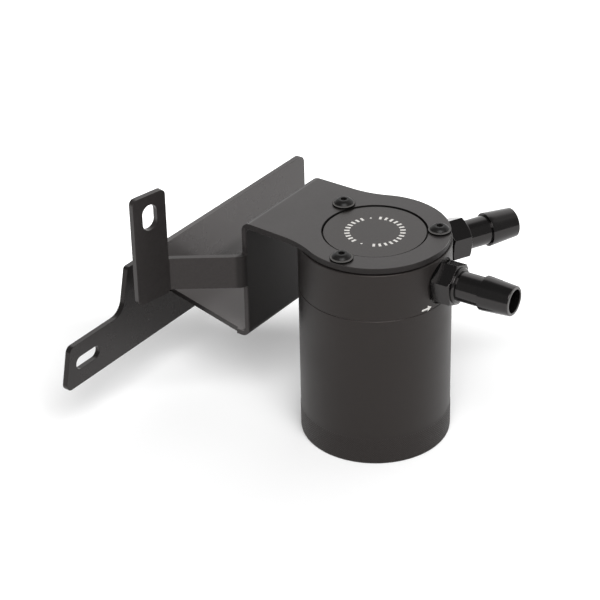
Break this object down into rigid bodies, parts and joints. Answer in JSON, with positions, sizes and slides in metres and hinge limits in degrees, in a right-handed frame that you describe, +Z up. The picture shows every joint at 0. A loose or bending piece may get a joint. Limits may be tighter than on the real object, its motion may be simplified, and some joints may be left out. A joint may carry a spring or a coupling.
{
  "type": "oil catch can",
  "caption": "Round screw-apart catch can that strips oil from crankcase gas, with angled hose barbs, hung by its head from a folded sheet bracket.",
  "frame": {"origin": "centre of the bowl's underside, on the can's axis", "axes": "+Z up along the can's axis, +X from the bracket's back plate towards the can, +Y along the bracket's bend lines"},
  "size_m": [0.1671, 0.1707, 0.1116],
  "materials": {
    "can_black": "satin anodised",
    "fitting_black": "semi-gloss anodised",
    "bracket_black": "satin powder coat",
    "screw_black": "black oxide",
    "seal_rubber": "matte",
    "inner_aluminium": "machined",
    "inner_steel": "zinc plated",
    "filter_bronze": "sintered"
  },
  "bodies": {
    "bowl": {"bowl": "can_black"},
    "seal": {"bowl_seal": "seal_rubber"},
    "head": {"can_head": "can_black", "outlet_fitting": "fitting_black", "inlet_fitting": "fitting_black", "filter_base": "inner_aluminium", "filter_element": "filter_bronze", "inlet_tube": "inner_aluminium", "baffle_plate": "inner_aluminium", "baffle_pillar_1": "inner_aluminium", "baffle_pillar_2": "inner_aluminium", "baffle_pillar_3": "inner_aluminium", "baffle_screw_1": "inner_steel", "baffle_screw_2": "inner_steel", "baffle_screw_3": "inner_steel", "folded_bracket": "bracket_black", "back_plate": "bracket_black", "bracket_screw_1": "screw_black", "bracket_screw_2": "screw_black", "bracket_screw_3": "screw_black", "bracket_washer_1": "screw_black", "bracket_washer_2": "screw_black", "bracket_washer_3": "screw_black"}
  },
  "joints": [
    {"name": "head_lift", "type": "slide", "parent": "bowl", "child": "seal", "axis": [0, 0, 1], "range_m": [0, 0.0075]},
    {"name": "head_turn", "type": "hinge", "parent": "seal", "child": "head", "pos_m": [0, 0, 0.0693], "axis": [0, 0, 1], "range_deg": [0, 1350]}
  ],
  "couplings": [
    {"joint": "head_lift", "follows": "head_turn", "m_per_rad": 0.00031831}
  ]
}
